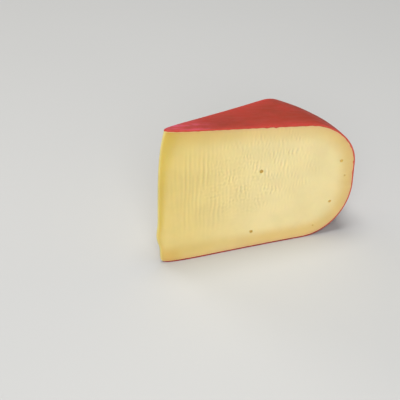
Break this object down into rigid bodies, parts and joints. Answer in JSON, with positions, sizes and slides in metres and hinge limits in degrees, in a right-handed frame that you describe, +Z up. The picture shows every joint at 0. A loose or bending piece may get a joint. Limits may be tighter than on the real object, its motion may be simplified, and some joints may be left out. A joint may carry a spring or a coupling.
{
  "type": "gouda cheese wedge",
  "caption": "Wedge of young gouda with a smooth pale yellow paste, a few small eyes and a thin coat of red wax over its crown, rim and base.",
  "frame": {"origin": "on the ground, under the middle of the wedge's bounding box", "axes": "+X along the front cut face from the wedge's tip to its rim, +Y away from the front cut face towards the back one, +Z up"},
  "size_m": [0.1318, 0.0678, 0.0972],
  "materials": {
    "cheese_paste": null,
    "red_wax": null
  },
  "bodies": {
    "root": {"cheese_paste": "cheese_paste", "wax_coat": "red_wax"}
  },
  "joints": []
}
